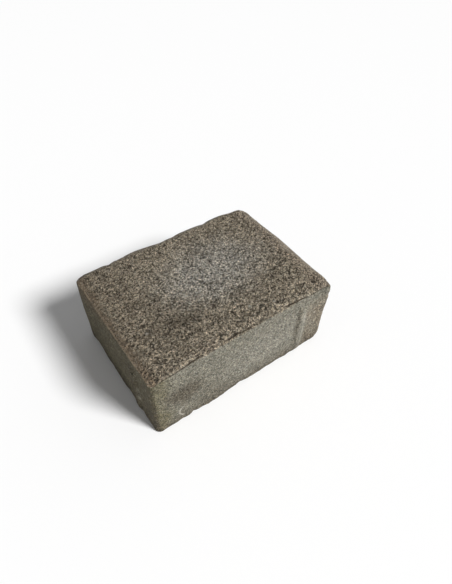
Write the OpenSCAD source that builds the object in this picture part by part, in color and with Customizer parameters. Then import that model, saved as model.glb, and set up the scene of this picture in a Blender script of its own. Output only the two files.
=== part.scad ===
// Concrete paving stone: one dense pressed block with a rolled-over top edge
// and cast-on spacer nibs, two on each long side and one on each short side.
// Millimetres. X runs along the stone, Y across it and Z up from the bed,
// with the origin in the middle of the bottom face.

/* [Stone] */
// Length of the stone along X, without the spacer nibs
stone_l = 158; // [120:1:260]
// Width of the stone along Y, without the spacer nibs
stone_w = 115; // [90:1:200]
// Height from the bed to the flat of the top face
stone_h = 70; // [50:1:120]
// Radius of the four upright corners
corner_r = 4.5; // [4:0.5:15]
// Size of the small bevel round the bottom edge
bed_bevel = 1; // [0.5:0.25:3]

/* [Rolled top edge] */
// Width of the rounded band between the side and the flat top
shoulder_w = 9; // [8:0.5:20]
// How far the band falls from the flat top to the side
shoulder_drop = 3.3; // [1:0.1:4]

/* [Spacer nibs] */
// Width of a nib where it meets the side
nib_w = 11; // [9:0.5:16]
// Width of a nib's flat crest
nib_crest_w = 4; // [2:0.5:8]
// How far a nib stands out from the side
nib_proud = 2; // [1:0.25:5]
// Distance from the edge of the rounded band down to the top of a nib
nib_top_gap = 9; // [3:1:20]
// Height of the slope that leads in to a nib's crest
nib_lead_in = 6; // [2:1:12]
// Distance from a short side to the middle of the nib on a long side
long_side_nib_inset = 25.5; // [24:0.5:45]
// Distance from a long side to the middle of the nib on a short side
short_side_nib_inset = 27; // [24:0.5:40]

/* [Hidden] */
$fn = 96;
// Overrun that takes a shape clear past the faces that trim it
past = 1;
// Radius of the arc that is level where it meets the flat top and ends at the side
shoulder_r = (shoulder_w * shoulder_w + shoulder_drop * shoulder_drop) / (2 * shoulder_drop);
// Height of the line that the arc turns about
shoulder_axis_z = stone_h - shoulder_r;
// Depth of a nib's root in the body, measured from behind the bottom bevel
root_cover = 2;
nib_root = bed_bevel + root_cover;
nib_top_z = stone_h - shoulder_drop - nib_top_gap;
stone_color = [0.47, 0.45, 0.41];

// Draws its children in the four corners, set in from both sides and facing outward
module at_corners(inset) {
    for (side_x = [0, 1], side_y = [0, 1])
        mirror([side_x, 0, 0])
            mirror([0, side_y, 0])
                translate([stone_l / 2 - inset, stone_w / 2 - inset, 0])
                    children();
}

// A bar along Y whose section is its child on one side of the middle and mirrored on the other
module bar(bar_l) {
    for (side = [0, 1])
        mirror([side, 0, 0])
            translate([0, bar_l / 2, 0])
                rotate([90, 0, 0])
                    linear_extrude(height = bar_l)
                        children();
}

// Half of the plain block's section, with the stone's side at x = half
module bevelled_half_section(half) {
    polygon([
        [0, 0],
        [half - bed_bevel, 0],
        [half, bed_bevel],
        [half, stone_h],
        [0, stone_h]
    ]);
}

// The block with rounded upright corners, a bevelled bottom and a square top edge
module plain_block() {
    bar(stone_w - 2 * corner_r)
        bevelled_half_section(stone_l / 2);
    rotate([0, 0, 90])
        bar(stone_l - 2 * corner_r)
            bevelled_half_section(stone_w / 2);
    at_corners(corner_r)
        rotate_extrude(angle = 90)
            bevelled_half_section(corner_r);
}

// Half of the rolled top's section, which runs out past the stone's side at x = half
module rolled_half_section(half) {
    difference() {
        square([half + past, stone_h]);
        translate([half - shoulder_w, shoulder_axis_z])
            difference() {
                square([shoulder_w + 2 * past, shoulder_r + past]);
                circle(r = shoulder_r);
            }
    }
}

// A quarter of a ball on a square column, which rounds off a corner of the rolled top
module rolled_corner() {
    column_w = shoulder_w + past;
    cube([column_w, column_w, shoulder_axis_z]);
    translate([0, 0, shoulder_axis_z])
        intersection() {
            rotate([90, 0, 0])
                sphere(r = shoulder_r);
            cube([column_w, column_w, shoulder_r + past]);
        }
}

// A block over the whole footprint whose top rolls down at every side
module rolled_top() {
    bar(stone_w - 2 * shoulder_w)
        rolled_half_section(stone_l / 2);
    rotate([0, 0, 90])
        bar(stone_l - 2 * shoulder_w)
            rolled_half_section(stone_w / 2);
    at_corners(shoulder_w)
        rolled_corner();
}

module body() {
    intersection() {
        plain_block();
        rolled_top();
    }
}

// A spacer nib standing out along +X from the plane x = 0
module nib() {
    intersection() {
        // plan: flanks and crest
        linear_extrude(height = nib_top_z)
            polygon([
                [-nib_root, -nib_w / 2],
                [0, -nib_w / 2],
                [nib_proud, -nib_crest_w / 2],
                [nib_proud, nib_crest_w / 2],
                [0, nib_w / 2],
                [-nib_root, nib_w / 2]
            ]);
        // side view: bevelled foot and sloping lead-in
        translate([0, nib_w / 2, 0])
            rotate([90, 0, 0])
                linear_extrude(height = nib_w)
                    polygon([
                        [-nib_root, 0],
                        [nib_proud - bed_bevel, 0],
                        [nib_proud, bed_bevel],
                        [nib_proud, nib_top_z - nib_lead_in],
                        [0, nib_top_z],
                        [-nib_root, nib_top_z]
                    ]);
    }
}

// The nibs of the front long side and the left short side
module front_and_left_nibs() {
    nib_x = stone_l / 2 - long_side_nib_inset;
    nib_y = stone_w / 2 - short_side_nib_inset;
    for (x = [-nib_x, nib_x])
        translate([x, -stone_w / 2, 0])
            rotate([0, 0, -90])
                nib();
    translate([-stone_l / 2, -nib_y, 0])
        rotate([0, 0, 180])
            nib();
}

// The other two sides carry the same nibs after half a turn
module paving_stone() {
    color(stone_color)
        union() {
            body();
            front_and_left_nibs();
            rotate([0, 0, 180])
                front_and_left_nibs();
        }
}

paving_stone();
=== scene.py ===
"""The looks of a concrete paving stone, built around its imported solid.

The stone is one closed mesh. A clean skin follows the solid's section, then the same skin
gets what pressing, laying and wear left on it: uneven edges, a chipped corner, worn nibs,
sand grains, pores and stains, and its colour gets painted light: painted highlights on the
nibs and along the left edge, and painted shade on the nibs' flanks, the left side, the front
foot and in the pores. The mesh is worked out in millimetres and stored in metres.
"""
import math

import bpy
import numpy as np
from mathutils import Matrix, Vector
from mathutils.geometry import delaunay_2d_cdt


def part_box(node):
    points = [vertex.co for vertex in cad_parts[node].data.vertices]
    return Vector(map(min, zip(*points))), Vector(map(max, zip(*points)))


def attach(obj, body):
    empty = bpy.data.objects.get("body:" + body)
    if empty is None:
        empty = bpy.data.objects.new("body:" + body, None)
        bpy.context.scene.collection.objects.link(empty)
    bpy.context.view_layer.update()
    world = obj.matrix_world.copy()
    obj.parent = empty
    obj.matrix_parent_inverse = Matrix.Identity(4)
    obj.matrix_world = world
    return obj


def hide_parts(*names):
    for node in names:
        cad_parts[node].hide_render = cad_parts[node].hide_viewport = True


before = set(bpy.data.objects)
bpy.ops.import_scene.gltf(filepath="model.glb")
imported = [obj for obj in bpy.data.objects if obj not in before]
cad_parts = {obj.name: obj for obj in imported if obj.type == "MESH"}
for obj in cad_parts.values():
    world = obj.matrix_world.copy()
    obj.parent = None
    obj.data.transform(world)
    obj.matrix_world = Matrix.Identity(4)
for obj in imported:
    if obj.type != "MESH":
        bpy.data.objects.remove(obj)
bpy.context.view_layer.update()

MM = 0.001

# The stone's own sizes, as in the solid (mm)
NIB_PROUD = 2.0
high = np.array(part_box("paving_stone")[1]) / MM
HALF_L = high[0] - NIB_PROUD
HALF_W = high[1] - NIB_PROUD
STONE_H = high[2]
CORNER_R = 4.5
BED_BEVEL = 1.0
SHOULDER_W = 9.0
SHOULDER_DROP = 3.3
SHOULDER_R = (SHOULDER_W**2 + SHOULDER_DROP**2) / (2 * SHOULDER_DROP)
LIP_Z = STONE_H - SHOULDER_DROP
NIB_W = 11.0
NIB_CREST_W = 4.0
NIB_TOP_GAP = 9.0
NIB_TOP_Z = LIP_Z - NIB_TOP_GAP
NIB_LEAD_IN = 6.0
LONG_SIDE_NIB_INSET = 25.5
LONG_SIDE_NIB_X = HALF_L - LONG_SIDE_NIB_INSET
SHORT_SIDE_NIB_INSET = 27.0
SHORT_SIDE_NIB_Y = HALF_W - SHORT_SIDE_NIB_INSET

# How finely the skin is divided (mm, and rows from the lip down to the bed)
TOP_STEP = 0.65
TOP_COLUMNS = round(2 * HALF_L / TOP_STEP)
TOP_ROWS = round(2 * HALF_W / TOP_STEP)
BED_STEP = 4.0
SIDE_ROWS = 64
# How much closer together the side's rows are at the lip and at the bed
ROW_CROWDING = 0.35

# The part of the skin that a point belongs to
TOP, SIDE, BED = range(3)


# ---------------------------------------------------------------- repeatable noise

def cell_random(cell, salt):
    """A repeatable random number from 0 to 1 for each whole-number cell."""
    x, y, z = (cell[..., i].astype(np.uint32) for i in range(3))
    h = x * np.uint32(0x8DA6B343) ^ y * np.uint32(0xD8163841) ^ z * np.uint32(0xCB1AB31F)
    h = h + np.uint32(salt * 0x9E3779B9 & 0xFFFFFFFF)
    h = (h ^ (h >> np.uint32(15))) * np.uint32(0x2C1B3C6D)
    h = (h ^ (h >> np.uint32(12))) * np.uint32(0x297A2D39)
    return (h ^ (h >> np.uint32(15))) / 2.0**32


def noise(points, size, salt):
    """Smooth noise from -1 to 1 whose lumps are about size across."""
    place = points / size
    cell = np.floor(place).astype(np.int64)
    t = place - cell
    t = t * t * t * (t * (t * 6 - 15) + 10)
    total = 0.0
    for corner in np.ndindex(2, 2, 2):
        share = np.prod(np.where(corner, t, 1 - t), axis=-1)
        total = total + share * cell_random(cell + corner, salt)
    return 2 * total - 1


def layered_noise(points, size, layers, salt):
    """Noise with finer, weaker noise on top of it."""
    size = np.asarray(size, dtype=float)
    weights = [0.5**layer for layer in range(layers)]
    total = sum(weight * noise(points, size * weight, salt + layer)
                for layer, weight in enumerate(weights))
    return total / sum(weights)


def drift(points, size, layers, salt):
    """A small shift for each point, so that what is drawn at the shifted points looks uneven."""
    return np.stack([layered_noise(points, size, layers, salt + 10 * axis) for axis in range(3)],
                    axis=-1)


def grains(points, spacing, salt):
    """The scattered grain that each point lies in: the distance to its middle, how much further
    the next grain's middle is, and the grain's own random number."""
    cell = np.floor(points / spacing).astype(np.int64)
    first = np.full(len(points), np.inf)
    second = np.full(len(points), np.inf)
    tint = np.zeros(len(points))
    for shift in np.ndindex(3, 3, 3):
        near = cell + shift - 1
        middle = near + np.stack([cell_random(near, salt + axis) for axis in range(3)], axis=-1)
        reach = np.linalg.norm(points - middle * spacing, axis=-1)
        nearer = reach < first
        second = np.where(nearer, first, np.minimum(second, reach))
        tint = np.where(nearer, cell_random(near, salt + 3), tint)
        first = np.where(nearer, reach, first)
    return first, second - first, tint


def smooth(low_end, high_end, value):
    """0 below low_end, 1 above high_end and an easy curve between."""
    t = np.clip((value - low_end) / (high_end - low_end), 0, 1)
    return t * t * (3 - 2 * t)


def hump(value, middle, half_width):
    """A bell curve, 1 at the middle."""
    return np.exp(-((value - middle) / half_width) ** 2)


# ---------------------------------------------------------------- the clean skin

def rolled_height(x, y):
    """Height of the rolled top at a place in plan."""
    dx = np.maximum(np.abs(x) - (HALF_L - SHOULDER_W), 0)
    dy = np.maximum(np.abs(y) - (HALF_W - SHOULDER_W), 0)
    return STONE_H - SHOULDER_R + np.sqrt(SHOULDER_R**2 - dx**2 - dy**2)


def round_corners(u, v):
    """Moves a sharp-cornered plan onto the one with rounded corners."""
    straight_x, straight_y = HALF_L - CORNER_R, HALF_W - CORNER_R
    a = np.clip((np.abs(u) - straight_x) / CORNER_R, 0, 1)
    b = np.clip((np.abs(v) - straight_y) / CORNER_R, 0, 1)
    x = np.minimum(np.abs(u), straight_x) + CORNER_R * a * np.sqrt(1 - b * b / 2)
    y = np.minimum(np.abs(v), straight_y) + CORNER_R * b * np.sqrt(1 - a * a / 2)
    return np.sign(u) * x, np.sign(v) * y


def plan_outward(x, y):
    """The level direction that points straight out of the side."""
    dx = np.sign(x) * np.maximum(np.abs(x) - (HALF_L - CORNER_R), 0)
    dy = np.sign(y) * np.maximum(np.abs(y) - (HALF_W - CORNER_R), 0)
    out = np.stack([dx, dy, np.zeros_like(dx)], axis=-1)
    return out / np.maximum(np.linalg.norm(out, axis=-1, keepdims=True), 1e-9)


def rim_order():
    """Grid places round the edge of the top, counter-clockwise from above."""
    front = [(i, 0) for i in range(TOP_COLUMNS)]
    right = [(TOP_COLUMNS, j) for j in range(TOP_ROWS)]
    back = [(i, TOP_ROWS) for i in range(TOP_COLUMNS, 0, -1)]
    left = [(0, j) for j in range(TOP_ROWS, 0, -1)]
    return front + right + back + left


def clean_top():
    """The rolled top: its points, its faces and the numbers of the points round its edge."""
    u, v = np.meshgrid(np.linspace(-HALF_L, HALF_L, TOP_COLUMNS + 1),
                       np.linspace(-HALF_W, HALF_W, TOP_ROWS + 1), indexing="ij")
    x, y = round_corners(u.ravel(), v.ravel())
    number = np.arange(len(x)).reshape(TOP_COLUMNS + 1, TOP_ROWS + 1)
    faces = np.stack([number[:-1, :-1], number[1:, :-1], number[1:, 1:], number[:-1, 1:]], axis=-1)
    rim = np.array([number[place] for place in rim_order()])
    return np.stack([x, y, rolled_height(x, y)], axis=-1), faces.reshape(-1, 4), rim


def clean_sides(edge, edge_numbers, first_new):
    """The sides below the top's edge: their points, their faces and the numbers of the points
    round their bottom edge."""
    down = np.linspace(0, 1, SIDE_ROWS + 1)[1:, None]
    down = down - ROW_CROWDING * np.sin(2 * math.pi * down) / (2 * math.pi)
    outward = plan_outward(edge[:, 0], edge[:, 1])
    z = edge[:, 2] * (1 - down)
    tucked = np.maximum(BED_BEVEL - z, 0)
    side = edge * (1, 1, 0) - outward * tucked[..., None]
    side[..., 2] = z
    ring = np.vstack([edge_numbers, first_new + np.arange(z.size).reshape(z.shape)])
    upper, lower = ring[:-1], ring[1:]
    faces = np.stack([upper, lower, np.roll(lower, -1, axis=1), np.roll(upper, -1, axis=1)], axis=-1)
    return side.reshape(-1, 3), faces.reshape(-1, 4), ring[-1]


def clean_bed(edge, edge_numbers, first_new):
    """The flat bottom: triangles between the bottom edge and a coarse grid inside it."""
    half_l, half_w = HALF_L - BED_STEP, HALF_W - BED_STEP
    columns, rows = round(2 * half_l / BED_STEP), round(2 * half_w / BED_STEP)
    inner = [(x, y) for x in np.linspace(-half_l, half_l, columns)
             for y in np.linspace(-half_w, half_w, rows)]
    plan = [Vector(p[:2]) for p in edge] + [Vector(p) for p in inner]
    loop = [(i, (i + 1) % len(edge)) for i in range(len(edge))]
    triangles = delaunay_2d_cdt(plan, loop, [], 1, 1e-6)[2]
    numbers = [*edge_numbers.tolist(), *range(first_new, first_new + len(inner))]
    faces = [[numbers[i] for i in reversed(triangle)] for triangle in triangles]
    return np.array([(x, y, 0.0) for x, y in inner]), faces


def clean_skin():
    """Points and faces of the stone as it left the mould, without its nibs, and the part of
    the skin that each point belongs to."""
    top, top_faces, rim = clean_top()
    side, side_faces, foot = clean_sides(top[rim], rim, len(top))
    points = np.vstack([top, side])
    bed, bed_faces = clean_bed(points[foot], foot, len(points))
    kind = np.repeat([TOP, SIDE, BED], [len(top), len(side), len(bed)])
    return np.vstack([points, bed]), [*top_faces.tolist(), *side_faces.tolist(), *bed_faces], kind


def normals(points, faces):
    """Smooth outward directions at the points."""
    out = np.zeros_like(points)
    for corners in (3, 4):
        group = np.array([face for face in faces if len(face) == corners])
        a, b, c, d = (points[group[:, i]] for i in (0, 1, 2, -1))
        face_out = np.cross(c - a, d - b)
        for i in range(corners):
            np.add.at(out, group[:, i], face_out)
    return out / np.linalg.norm(out, axis=-1, keepdims=True)


# ---------------------------------------------------------------- shape beyond the mould

# How far in from a side, below the lip and above the foot the unevenness fades out (mm)
SIDE_FADE = 6.0
LIP_FADE = 9.0
FOOT_FADE = 2.5
# Waves in the back edge: place along it, half width, how far it stands out (mm)
BACK_EDGE_WAVES = ((-51, 2.5, -1.3), (-28, 10, 1.5), (-4, 7, -1.5), (7, 4, -1.0), (15, 5, -0.1),
                   (32, 12, -0.4), (37, 4, -1.3), (52, 7, -0.2), (67, 8, -2.9))
# The same for the right edge, the bottom of the front side and the bottom of the left side
RIGHT_EDGE_WAVES = ((0, 18, 1.2), (36, 12, -0.5))
FRONT_FOOT_WAVES = ((-68, 6, 0.4), (-48, 2, -1.6), (-28, 11, 1.5), (-5, 4, -1.6), (8, 4, 0.6),
                    (18, 6, 0.5), (42, 7, 1.1), (58, 5, 0.6))
LEFT_FOOT_WAVES = ((-41, 6, 0.5), (-30, 5, -0.3), (4, 11, 1.0), (40, 10, -1.1))
# The piece broken off the back right corner of the top: how far in and how far down it goes (mm)
CHIP_DEPTH = 8.5
CHIP_DROP = 16.0
# The concrete squeezed out at the front right corner: how far in it starts, its slope, and how
# far below the lip and above the foot it is full (mm)
FLASH_DEPTH = 4.5
FLASH_SLOPE = 0.42
FLASH_TOP_FADE = 4.0
FLASH_FOOT_FADE = 9.0
# How far the nibs have worn away, 1 for one that has broken off: the front's left and right
# ones, the back's and the short sides'
FRONT_NIBS_WORN = (1.0, 0.35)
BACK_NIBS_WORN = 0.1
SHORT_SIDE_NIBS_WORN = 0.15


def waves(along, table):
    """How far an edge stands out at each place along it."""
    return sum(height * hump(along, place, half_width) for place, half_width, height in table)


def side_share(points):
    """How near each point is to the left, right, front and back sides, 1 on a side."""
    x, y, _ = points.T
    return (np.exp(-np.abs(x + HALF_L) / SIDE_FADE), np.exp(-np.abs(x - HALF_L) / SIDE_FADE),
            np.exp(-np.abs(y + HALF_W) / SIDE_FADE), np.exp(-np.abs(y - HALF_W) / SIDE_FADE))


def past_diagonal(x, y, depth):
    """How far each place is past the line that cuts across the corner where x and y are largest."""
    return np.maximum(x + y - (HALF_L + HALF_W - depth * math.sqrt(2)), 0)


def chipped_corner(points):
    """How far the back right corner of the top is knocked in, along x and along y."""
    x, y, z = points.T
    return 0.5 * past_diagonal(x, y, CHIP_DEPTH) * np.exp(-np.maximum(LIP_Z - z, 0) / CHIP_DROP)


def squeezed_corner(points):
    """How far the concrete stands out at the front right corner, along x and along y."""
    x, y, z = points.T
    uneven = 1 + 0.50 * layered_noise(points * (0, 0, 1), 9, 3, 61)
    flash = FLASH_SLOPE * past_diagonal(x, -y, FLASH_DEPTH) * uneven
    return flash * smooth(LIP_Z, LIP_Z - FLASH_TOP_FADE, z) * smooth(0, FLASH_FOOT_FADE, z)


def uneven_edges(points):
    """Level shifts of the top edge and the foot, which no mould leaves quite straight."""
    x, y, z = points.T
    left, right, front, back = side_share(points)
    at_lip = np.exp(-np.maximum(LIP_Z - z, 0) / LIP_FADE)
    at_foot = np.exp(-z / FOOT_FADE)
    flat = points * (1, 1, 0)
    lip_wave = 0.9 * layered_noise(flat, 17, 3, 11)
    foot_wave = 1.5 * layered_noise(flat, 7, 3, 21)
    left_bulge = 0.6 * hump(z, 42, 22) * smooth(15, 50, y)
    left_foot = 0.6 * foot_wave + waves(y, LEFT_FOOT_WAVES)
    left_out = at_lip * lip_wave * 0.4 + at_foot * left_foot + left_bulge
    right_out = at_lip * (lip_wave + waves(y, RIGHT_EDGE_WAVES)) + at_foot * foot_wave
    front_out = at_lip * lip_wave * 0.5 + at_foot * (0.5 * foot_wave + waves(x, FRONT_FOOT_WAVES))
    back_out = at_lip * (0.4 * lip_wave + waves(x, BACK_EDGE_WAVES)) + at_foot * foot_wave
    chip = chipped_corner(points)
    flash = squeezed_corner(points)
    return np.stack([right * right_out - left * left_out - chip + flash,
                     back * back_out - front * front_out - chip - flash,
                     np.zeros(len(points))], axis=-1)


def nib_shape(along, points, worn):
    """How far a nib stands out of its side; along is the distance from its middle line."""
    z = points[:, 2]
    off_middle = np.abs(along + 0.6 * layered_noise(points, 7, 3, 31))
    flank = np.clip((NIB_W / 2 - off_middle) / (NIB_W / 2 - NIB_CREST_W / 2), 0, 1)
    lead_in = smooth(NIB_TOP_Z, NIB_TOP_Z - NIB_LEAD_IN, z + 1.5 * noise(points, 5, 33))
    rough = 1 - worn * (0.65 + 0.5 * layered_noise(points, 6, 2, 32))
    rough = rough * (0.92 + 0.25 * layered_noise(points, 3.5, 2, 34)) * (0.5 + 0.5 * smooth(0, 6, z))
    return NIB_PROUD * flank * lead_in * np.clip(rough, 0, 1.05)


def nibs(points, outward):
    """The spacer nibs, two on each long side and one on each short side."""
    x, y, _ = points.T
    on_side = np.abs(outward).max(axis=1) > 0.99
    long_side = on_side & (np.abs(outward[:, 1]) > 0.5)
    short_side = on_side & ~long_side
    proud = np.zeros(len(points))
    for middle, front_worn in zip((-LONG_SIDE_NIB_X, LONG_SIDE_NIB_X), FRONT_NIBS_WORN):
        worn = np.where(y < 0, front_worn, BACK_NIBS_WORN)
        proud += long_side * nib_shape(x - middle, points, worn)
    middle = np.where(x < 0, -SHORT_SIDE_NIB_Y, SHORT_SIDE_NIB_Y)
    proud += short_side * nib_shape(y - middle, points, SHORT_SIDE_NIBS_WORN)
    return outward * proud[:, None]


# ---------------------------------------------------------------- grain, pores, stains and painted highlights and shade

# Spacing of the coarse grains (mm)
GRAIN = 1.5
# Deep pits in the top: place and radius (mm)
TOP_PITS = ((-60, 45, 1.9), (-56, 42, 1.2), (32.5, 41, 1.7), (35, 38.5, 1.6), (-30, -39, 1.5),
            (-44, -22, 1.3), (62, -5, 1.4), (-66, 24, 1.3), (5, 30, 1.2), (-38, 48, 1.4))
# Pale pebbles bare at the top: place and radius (mm)
TOP_PEBBLES = ((12, -42.5, 1.7), (-60.6, -22, 1.3), (29.4, -49, 1.4), (-20.6, 19, 1.2),
               (62, 6, 1.2), (43, -22, 1.2), (54, 40, 1.3))
# Pale grains bare in the front side: place along it, height and radius (mm)
FRONT_PEBBLES = ((31, 25.8, 1.1), (5.6, 34, 1.3), (-2, 46.5, 0.8), (55.5, 45, 1.6), (68, 40, 1.2))
# Where the crack under the front lip is open: middle, half length (mm) and strength
SEAM_RUNS = ((-56, 17, 1.0), (-7, 12, 0.9), (17, 9, 0.6), (45, 10, 1.0), (68, 10, 1.0))
# How far each part of the relief stands out or goes in (mm)
BROAD_WAVES = 0.30
SMALL_WAVES = 0.14
GRAIN_HEIGHT = 0.42
PEBBLE_HEIGHT = 0.35
PRESS_STREAKS = 0.07
GAP_DEPTH = 0.95
PIT_DEPTH = 1.1
SEAM_DEPTH = 0.6
SEAM_HALF_WIDTH = 0.7
# The share of that relief that the bottom has
BED_SHARE = 0.35
# Dark stains on the top: middle, half size (mm) and strength
TOP_DARK = ((-35, -26, 17, 13, 0.8), (12, -30, 30, 9, 0.15), (-52, 10, 18, 22, 0.25),
            (30, 30, 11, 10, 0.25))


def front_and_left(outward):
    """Which points are on the front side and which are on the left side."""
    return outward[:, 1] < -0.5, outward[:, 0] < -0.5


def below_lip(points):
    """How far each point is below the lip on a side, or as a negative number inside it on top."""
    x, y, z = points.T
    inside = np.minimum(HALF_L - np.abs(x), HALF_W - np.abs(y))
    return np.where(z > LIP_Z - 0.01, -inside, LIP_Z - z)


def right_end(points, outward):
    """The rougher, browner concrete round the front right corner, 1 where it is plainest."""
    x, y, z = points.T
    ragged = 3 * layered_noise(points, 7, 3, 42)
    on_front = (outward[:, 1] < -0.5) * smooth(57, 64, x + ragged)
    on_right = (outward[:, 0] > 0.5) * smooth(-42, -55, y + ragged)
    return np.maximum(on_front, on_right) * smooth(60, 48, z + ragged)


def spots(a, b, table):
    """1 in the middle of each round spot and 0 past its edge."""
    return np.max([np.clip(1 - ((a - p) ** 2 + (b - q) ** 2) / r**2, 0, 1) for p, q, r in table],
                  axis=0)


def front_seam(points):
    """The crack where the rolled edge meets the front side: the distance from its line (mm)
    and how far it is open there, from 0 to 1."""
    x, y, _ = points.T
    line = 3.2 * np.abs(x / HALF_L) ** 3 - 1.0 + 0.7 * layered_noise(points * (1, 0, 0), 9, 3, 141)
    open_share = np.max([strength * smooth(half + 3, half - 3, np.abs(x - middle))
                         for middle, half, strength in SEAM_RUNS], axis=0)
    broken = smooth(-0.75, -0.2, layered_noise(points, 5, 3, 131))
    return below_lip(points) - line, open_share * broken * (y < 8 - HALF_W)


def front_scrape(points):
    """The hooked scrape low on the front side: the distance from its line (mm) and how strong
    it is there, from 0 to 1."""
    x, _, z = points.T
    off = x - (0.088 * (z - 12.7) ** 2 - 59.8)
    patchy = 0.50 + 0.50 * smooth(-0.35, 0.15, layered_noise(points, 2.6, 2, 137))
    return off, smooth(5.5, 7.5, z) * smooth(21, 18.5, z) * patchy


def coarse_share(points, outward, kind):
    """How coarse and open the concrete is: least on the pressed sides, most on the bare top."""
    front_rim = smooth(14, 5, points[:, 1] + HALF_W)
    ragged = 6.0 * layered_noise(points, 8, 3, 41)
    rough_edge = smooth(0.5, 8.0, ragged - below_lip(points) + 5.0 * front_rim)
    return np.where(kind == TOP, 0.25 + 0.75 * rough_edge, 0.15 + 0.35 * right_end(points, outward))


def relief(points, outward, kind):
    """The height of grain, pores and cracks (mm), with the masks that colour them; the gap mask
    paints shade into the pores, pits and crevices.
    """
    x, y, z = points.T
    top = kind == TOP
    front, _ = front_and_left(outward)
    coarse = coarse_share(points, outward, kind)
    uneven = points + 0.6 * drift(points, 2.2, 2, 45)
    middle, border, tint = grains(uneven, GRAIN, 51)
    crevice = smooth(0.40, 0.05, border) * smooth(-0.05, 0.40, layered_noise(points, 3.0, 3, 71))
    clumps = layered_noise(points, 1.45, 2, 76) + 0.20 * layered_noise(points, 9, 2, 79)
    pore = smooth(0.34, 0.52, clumps)
    pit = np.where(top, spots(x, y, TOP_PITS), 0)
    pebble = np.where(top, spots(x, y, TOP_PEBBLES), np.where(front, spots(x, z, FRONT_PEBBLES), 0))
    seam_off, seam = front_seam(points)
    open_gap = coarse * np.maximum(0.6 * crevice, pore) * (1 - pebble)

    height = BROAD_WAVES * layered_noise(points, 38, 2, 81)
    height += SMALL_WAVES * layered_noise(points, 9, 3, 85)
    height += coarse * GRAIN_HEIGHT * (0.6 - middle / GRAIN)
    height -= GAP_DEPTH * open_gap + PIT_DEPTH * np.sqrt(pit)
    height -= SEAM_DEPTH * seam * hump(seam_off, 0, SEAM_HALF_WIDTH)
    height += PEBBLE_HEIGHT * np.sqrt(pebble)
    height += np.where(kind == SIDE, PRESS_STREAKS * noise(points, (1.6, 1.6, 22), 91), 0)
    height *= np.where(kind == BED, BED_SHARE, 1)

    masks = {"coarse": coarse, "gap": np.maximum(open_gap, pit), "tint": tint, "pebble": pebble,
             "seam": seam, "seam_off": np.clip(seam_off, -5, 5)}
    return height, masks


def patch(a, b, middle_a, middle_b, half_a, half_b, power=1.0):
    """A soft oval patch, 1 in the middle."""
    return np.exp(-(((a - middle_a) / half_a) ** 2 + ((b - middle_b) / half_b) ** 2) ** power)


def top_dark(wx, wy):
    """Dark stains on the top, at places shifted so that their edges are uneven."""
    ovals = sum(strength * patch(wx, wy, *oval) for *oval, strength in TOP_DARK)
    return ovals + 0.15 * smooth(-22, -50, wx) * smooth(-40, -25, wy) + 0.10 * smooth(44, 54, wy)


def front_dark(x, z, wx, wz, blotch):
    """The brown patch of the front side, and its foot darkened with dirt and painted shade."""
    near_x, near_z = 0.6 * x + 0.4 * wx, 0.6 * z + 0.4 * wz
    return (1.4 * patch(near_x, near_z, -54, 36, 14, 10.5, 1.3)
            + 0.45 * patch(wx, wz, -32, 22, 14, 12)
            + 0.80 * smooth(6, 0, z + 3 * blotch)
            + 0.60 * smooth(22, 3, z + 4 * blotch)
            + 0.35 * smooth(8, 2, z + 2 * blotch) * patch(x, z, 20, 0, 35, 20))


def left_dark(z, wy, blotch):
    """Painted shade over the whole left side, turned away from the sun, darker still along its foot
    with dirt and painted shade, and low near the front.
    """
    return (0.52 + 0.5 * smooth(12, 0, z + 4 * blotch)
            + 0.45 * smooth(-32, -52, wy) * smooth(45, 15, z))


def nib_highlight_and_shade(points, outward, broken):
    """Pale ridges and dark flanks of the front right nib and the left nib: painted highlights, partly
    wear, on the flanks facing the sun, and painted shade on the flanks turned from it.
    """
    x, y, z = points.T
    front, left = front_and_left(outward)
    ridge_x = LONG_SIDE_NIB_X + 3.2 + 0.8 * layered_noise(points * (0, 0, 1), 8, 2, 135)
    patchy = 0.25 + 0.75 * smooth(-0.25, 0.30, layered_noise(points, 3.5, 3, 136))
    # Painted highlight on the sunlit flank; the shade lines below are painted shade on the flanks
    # turned from the sun
    ridge = hump(x, ridge_x, 1.8) * smooth(50, 42, z) * front * patchy
    shade = hump(x, LONG_SIDE_NIB_X - 3.3, 1.8) * smooth(59, 55, z) * smooth(0, 35, z) * front
    left_ridge = hump(y, -SHORT_SIDE_NIB_Y - 5, 2.0) * smooth(40, 25, z) * left
    left_shade = hump(y, -SHORT_SIDE_NIB_Y + 2.5, 3.5) * smooth(58, 50, z) * left
    return ridge + broken * left_ridge, 0.8 * (shade + left_shade)


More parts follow.
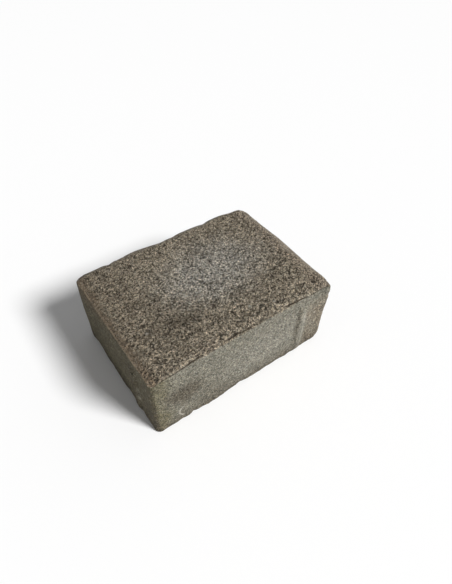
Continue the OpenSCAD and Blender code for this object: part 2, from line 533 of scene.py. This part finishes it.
def stains(points, outward, kind):
    """Masks for the broad colour changes and for the thin lines, with painted highlights and painted
    shade among them.
    """
    x, y, z = points.T
    below = below_lip(points)
    top = kind == TOP
    front, left = front_and_left(outward)
    wx, wy, wz = (points + 9 * drift(points, 18, 4, 101)).T
    blotch = layered_noise(points, 13, 4, 121)
    broken = smooth(-0.35, 0.25, layered_noise(points, 7, 4, 132))

    cool = np.where(top, patch(wx, wy, 11, 3, 44, 29, 1.6), 0)
    cool += np.where(front, 0.20 * patch(wx, wz, 24, 30, 40, 30, 1.5), 0)
    # Painted highlights and painted shade on the nibs' flanks
    pale, flanks = nib_highlight_and_shade(points, outward, broken)
    # Besides the stains, the dark mask holds painted shade on the nibs' flanks, over the whole left
    # side and along the front foot
    dark = np.where(top, top_dark(wx, wy), 0) + flanks
    dark += np.where(front, front_dark(x, z, wx, wz, blotch), 0)
    dark += np.where(left, left_dark(z, wy, blotch), 0)
    rust = np.where(top, 0.8 * smooth(-9, -2, below + 3 * blotch) * smooth(-70, -76, x)
                    + 0.22 * smooth(-45, -70, wx), 0)
    rust += np.where(left, 0.9 * smooth(18, 2, below + 5 * blotch) * smooth(-5, 30, y), 0)
    rust += 0.50 * right_end(points, outward) * broken
    moss = np.where(front, smooth(19, 4, wx + HALF_L) * (0.8 + 0.4 * smooth(45, 15, z)), 0)
    moss += np.where(left, 0.9, 0)
    warm = np.where(top, smooth(60, 74, wx) + 0.7 * patch(x, below, -30, -3, 11, 4), 0)

    scrape_off, scrape = front_scrape(points)
    # A painted highlight along the left edge's arris, partly wear
    lip = (x < 8 - HALF_L) * (y > 3 - HALF_W) * (0.4 + 0.6 * broken)
    masks = {"cool": cool, "dark": dark, "rust": rust, "moss": moss, "warm": warm, "pale": pale,
             "lip": lip, "scrape": scrape * front}
    masks = {name: np.clip(values, 0, 1) for name, values in masks.items()}
    return masks | {"lip_off": np.clip(below + 0.2, -5, 5), "scrape_off": np.clip(scrape_off, -5, 5)}


# ---------------------------------------------------------------- the stone's mesh

def build_stone():
    """The stone: the clean skin, moved to its worn shape, with the masks for its material."""
    points, faces, kind = clean_skin()
    outward = plan_outward(points[:, 0], points[:, 1])
    outward[kind != SIDE] = 0

    shifted = points + uneven_edges(points) + nibs(points, outward)
    height, masks = relief(points, outward, kind)
    masks.update(stains(points, outward, kind))
    shifted += normals(shifted, faces) * height[:, None]
    shifted[:, 2] = np.maximum(shifted[:, 2], 0)

    mesh = bpy.data.meshes.new("paving_stone_body")
    mesh.from_pydata((shifted * MM).tolist(), [], faces)
    mesh.validate()
    for name, values in masks.items():
        layer = mesh.attributes.new(name, "FLOAT", "POINT")
        layer.data.foreach_set("value", values.astype(np.float32))
    mesh.polygons.foreach_set("use_smooth", [True] * len(mesh.polygons))
    stone = bpy.data.objects.new("stone_body", mesh)
    bpy.context.scene.collection.objects.link(stone)
    return stone


# ---------------------------------------------------------------- materials

class Nodes:
    """Adds nodes to a material in few words."""

    def __init__(self, material):
        material.use_nodes = True
        self.tree = material.node_tree
        self.shader = self.tree.nodes["Principled BSDF"]

    def add(self, kind, inputs=(), **settings):
        made = self.tree.nodes.new("ShaderNode" + kind)
        for name, value in settings.items():
            setattr(made, name, value)
        for name, value in dict(inputs).items():
            self.feed(made.inputs[name], value)
        return made

    def feed(self, socket, value):
        if isinstance(value, bpy.types.NodeSocket):
            self.tree.links.new(value, socket)
        else:
            socket.default_value = value

    def math(self, operation, a, b=0.0):
        return self.add("Math", {0: a, 1: b}, operation=operation).outputs[0]

    def mask(self, name):
        return self.add("Attribute", attribute_name=name).outputs["Fac"]

    def remap(self, value, from_low, from_high, to_low, to_high):
        inputs = {"Value": value, "From Min": from_low, "From Max": from_high,
                  "To Min": to_low, "To Max": to_high}
        return self.add("MapRange", inputs).outputs["Result"]

    def mix(self, share, a, b, blend="MIX"):
        made = self.add("Mix", data_type="RGBA", blend_type=blend, clamp_factor=True)
        for socket, value in ((made.inputs[0], share), (made.inputs[6], a), (made.inputs[7], b)):
            self.feed(socket, value)
        return made.outputs[2]


def colour(red, green, blue):
    return (red, green, blue, 1.0)


# Concrete's colours, as shares of the light they send back
WARM_GREY = colour(0.428, 0.364, 0.270)
COOL_GREY = colour(0.515, 0.483, 0.418)
SKIN_GREY = colour(0.194, 0.189, 0.152)
DARK_BROWN = colour(0.090, 0.071, 0.047)
RUST_BROWN = colour(0.180, 0.115, 0.066)
MOSS_BROWN = colour(0.148, 0.127, 0.060)
WARM_PINK = colour(0.340, 0.270, 0.205)
# Also the colour of the painted highlights on the nibs
PALE_GRAIN_AND_HIGHLIGHT = colour(0.48, 0.45, 0.38)
# The colour of the painted highlight along the left edge
LIP_TAN = colour(0.35, 0.28, 0.19)
# The colour of the painted shade in the holes
GAP_DARK = colour(0.022, 0.018, 0.013)
SEAM_BROWN = colour(0.040, 0.029, 0.019)
# The broad stains and painted shade in the order they are laid on: mask, how strong it is at most,
# and colour; the dark mask holds painted shade besides stains
STAINS_AND_SHADE = (("cool", 0.9, COOL_GREY), ("warm", 0.5, WARM_PINK), ("moss", 0.7, MOSS_BROWN),
          ("rust", 0.6, RUST_BROWN), ("dark", 0.7, DARK_BROWN))
# How deep the fine texture looks (mm)
BUMP_DEPTH = 0.65


def blend(n, share, a, b):
    """A number between a and b."""
    return n.add("Mix", {0: share, 2: a, 3: b}).outputs[0]


def cloud(n, place_mm, scale):
    """Soft noise through the stone, from 0 to 1."""
    inputs = {"Vector": place_mm, "Scale": scale, "Detail": 4.0, "Roughness": 0.65}
    return n.add("TexNoise", inputs).outputs["Fac"]


def line(n, name, half_width):
    """The mask of a thin line, from how far each place is from it and how strong it is there."""
    off = n.math("ABSOLUTE", n.mask(name + "_off"))
    return n.math("MULTIPLY", n.remap(off, 0.4 * half_width, half_width, 1.0, 0.0), n.mask(name))


def overlaid(n, base, layers):
    """The base with each layer's colour laid over it, as far as its mask and share say."""
    for mask, share, layer_colour in layers:
        base = n.mix(n.math("MULTIPLY", mask, share), base, layer_colour)
    return base


def sand(n, place_mm, size, spread, joint, joints_open):
    """Packed sand grains of about one size: their tones, heights and own random numbers.

    Spread is how far a grain's tone is from 1 at most. Joint is the tone of the open joints
    between grains, and joints_open says where they are open, from 0 to 1."""
    inputs = {"Vector": place_mm, "Scale": 1 / size, "Randomness": 0.9}
    cells = n.add("TexVoronoi", inputs)
    borders = n.add("TexVoronoi", inputs, feature="DISTANCE_TO_EDGE")
    border = borders.outputs["Distance"]
    own = n.add("SeparateColor", {"Color": cells.outputs["Color"]}).outputs
    tone = n.remap(own["Red"], 0.0, 1.0, 1 - spread, 1 + spread)
    gap = blend(n, joints_open, 1.0, n.remap(border, 0.02, 0.24, joint, 1.0))
    dome = n.math("ADD", n.remap(cells.outputs["Distance"], 0.0, 0.8, 1.0, 0.0),
                  n.remap(border, 0.0, 0.2, 0.0, 0.8))
    return n.math("MULTIPLY", tone, gap), dome, own["Green"]


def packed_sand(n, place_mm, coarse, holes):
    """The sand of the smooth and of the coarse concrete, each where it belongs: its tones,
    heights and own random numbers."""
    warp = n.add("TexNoise", {"Vector": place_mm, "Scale": 0.9, "Detail": 2.0}).outputs["Color"]
    uneven = n.add("VectorMath", {0: place_mm, 1: warp}, operation="ADD").outputs[0]
    joints_open = n.remap(holes, 0.42, 0.56, 1.0, 0.15)
    fine_tone, fine_dome, _ = sand(n, uneven, 1.0, 0.55, 0.25, joints_open)
    coarse_tone, coarse_dome, lot = sand(n, uneven, 0.95, 0.85, 0.20, joints_open)
    return blend(n, coarse, fine_tone, coarse_tone), blend(n, coarse, fine_dome, coarse_dome), lot


def grain_colours(n, tone, grit, blotch, lot):
    """The tones varied by grain, grit and blotch, and made a little warmer or cooler by grain."""
    for value, spread in ((n.mask("tint"), 0.12), (n.remap(grit, 0.3, 0.7, 0.0, 1.0), 0.95),
                          (n.remap(blotch, 0.3, 0.7, 0.0, 1.0), 0.12)):
        tone = n.math("MULTIPLY", tone, n.remap(value, 0.0, 1.0, 1 - spread, 1 + spread))
    warmth = {"Red": n.math("MULTIPLY", tone, n.remap(lot, 0.0, 1.0, 0.96, 1.04)), "Green": tone,
              "Blue": n.math("MULTIPLY", tone, n.remap(lot, 0.0, 1.0, 1.05, 0.95))}
    return n.add("CombineColor", warmth).outputs[0]


def concrete():
    """Open-pored concrete: packed sand, broad stains and painted shade, then the grains, marks, lines
    and holes, with painted highlights on the nibs and the left edge and painted shade in the holes.
    """
    material = bpy.data.materials.new("open_pored_concrete")
    n = Nodes(material)
    place = n.add("TexCoord").outputs["Object"]
    place_mm = n.add("VectorMath", {0: place, "Scale": 1 / MM}, operation="SCALE").outputs[0]
    coarse = n.mask("coarse")
    grit, blotch, holes = (cloud(n, place_mm, scale) for scale in (2.0, 0.12, 1.0))
    depth = n.math("SUBTRACT", n.math("MULTIPLY", coarse, 0.05), holes)
    pinhole = n.remap(depth, -0.365, -0.325, 0.0, 1.0)
    tone, dome, lot = packed_sand(n, place_mm, coarse, holes)

    base = n.mix(coarse, SKIN_GREY, WARM_GREY)
    base = overlaid(n, base, [(n.mask(name), share, layer_colour) for name, share, layer_colour in STAINS_AND_SHADE])
    base = n.mix(1.0, base, grain_colours(n, tone, grit, blotch, lot), "MULTIPLY")
    worn = n.remap(holes, 0.40, 0.50, 0.25, 1.0)
    base = overlaid(n, base, (
        (n.math("GREATER_THAN", lot, 0.94), 0.25, PALE_GRAIN_AND_HIGHLIGHT),
        (n.mask("pebble"), 1.0, PALE_GRAIN_AND_HIGHLIGHT),
        # Painted highlights on the sunlit flanks of the nibs
        (n.mask("pale"), 0.5, PALE_GRAIN_AND_HIGHLIGHT),
        # The painted highlight along the left edge, partly wear
        (n.math("MULTIPLY", line(n, "lip", 0.9), worn), 0.8, LIP_TAN),
        (line(n, "scrape", 1.2), 1.0, PALE_GRAIN_AND_HIGHLIGHT),
        (n.math("MULTIPLY", line(n, "seam", 0.8), worn), 0.95, SEAM_BROWN),
        # Painted shade in the pinholes, pores, pits and crevices
        (pinhole, 0.9, GAP_DARK),
        (n.mask("gap"), 0.8, GAP_DARK),
    ))
    n.feed(n.shader.inputs["Base Color"], base)
    n.feed(n.shader.inputs["Roughness"], n.remap(grit, 0.3, 0.7, 0.82, 1.0))
    n.shader.inputs["Specular IOR Level"].default_value = 0.25

    height = n.math("ADD", dome, n.math("MULTIPLY", grit, 1.4))
    height = n.math("SUBTRACT", height, n.math("MULTIPLY", pinhole, 1.5))
    strength = n.remap(coarse, 0.2, 1.0, 0.50, 1.0)
    bump = n.add("Bump", {"Height": height, "Strength": strength, "Distance": BUMP_DEPTH * MM})
    n.feed(n.shader.inputs["Normal"], bump.outputs["Normal"])
    return material


def plain(name, base):
    material = bpy.data.materials.new(name)
    n = Nodes(material)
    n.shader.inputs["Base Color"].default_value = base
    n.shader.inputs["Roughness"].default_value = 0.9
    return material


# ---------------------------------------------------------------- studio

# Half the floor's width (m)
FLOOR_REACH = 4.0
FLOOR_WHITE = 0.93
SKY_STRENGTH = 0.25
SUN_STRENGTH = 3.8
# How wide the sun looks (degrees), which softens the shadow, and which way its light goes
SUN_SPREAD = 18
SUN_DIRECTION = (-0.34, 0.65, -0.68)
# The photograph's viewpoint: place (m), turn to the right from +Y, tilt down and roll (degrees),
# and lens (mm)
CAMERA_PLACE = (-0.13095, -0.20167, 0.32113)
CAMERA_ANGLES = (37.276, 47.974, 1.9475)
CAMERA_LENS = 28.2455


def add_floor():
    mesh = bpy.data.meshes.new("studio_floor")
    corners = [(x * FLOOR_REACH, y * FLOOR_REACH, 0) for x, y in ((-1, -1), (1, -1), (1, 1), (-1, 1))]
    mesh.from_pydata(corners, [], [(0, 1, 2, 3)])
    mesh.materials.append(plain("pale_floor", colour(FLOOR_WHITE, FLOOR_WHITE, FLOOR_WHITE)))
    floor = bpy.data.objects.new("studio_floor", mesh)
    bpy.context.scene.collection.objects.link(floor)


def add_lights():
    """An even pale sky and one soft sun from the right, in front."""
    world = bpy.data.worlds.new("studio_world")
    world.use_nodes = True
    sky = world.node_tree.nodes["Background"]
    sky.inputs["Color"].default_value = colour(1, 1, 1)
    sky.inputs["Strength"].default_value = SKY_STRENGTH
    bpy.context.scene.world = world
    lamp = bpy.data.lights.new("key", "SUN")
    lamp.energy = SUN_STRENGTH
    lamp.angle = math.radians(SUN_SPREAD)
    key = bpy.data.objects.new("key", lamp)
    key.rotation_mode = "QUATERNION"
    key.rotation_quaternion = Vector(SUN_DIRECTION).to_track_quat("-Z", "Y")
    bpy.context.scene.collection.objects.link(key)


def add_camera():
    """The photograph's viewpoint: from the front left, looking down."""
    turn, down, roll = (math.radians(angle) for angle in CAMERA_ANGLES)
    ahead = Vector((math.sin(turn) * math.cos(down), math.cos(turn) * math.cos(down),
                    -math.sin(down)))
    level = Vector((math.cos(turn), -math.sin(turn), 0))
    above = level.cross(ahead)
    right = level * math.cos(roll) + above * math.sin(roll)
    up = right.cross(ahead)
    camera = bpy.data.objects.new("camera", bpy.data.cameras.new("camera"))
    camera.data.lens = CAMERA_LENS
    camera.data.clip_start = 0.01
    facing = Matrix((right, up, -ahead)).transposed().to_4x4()
    camera.matrix_world = Matrix.Translation(CAMERA_PLACE) @ facing
    bpy.context.scene.collection.objects.link(camera)
    bpy.context.scene.camera = camera


add_camera()
add_lights()
add_floor()
bpy.context.scene.view_settings.view_transform = "Standard"

stone = build_stone()
stone.data.materials.append(concrete())
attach(stone, "root")
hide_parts("paving_stone")
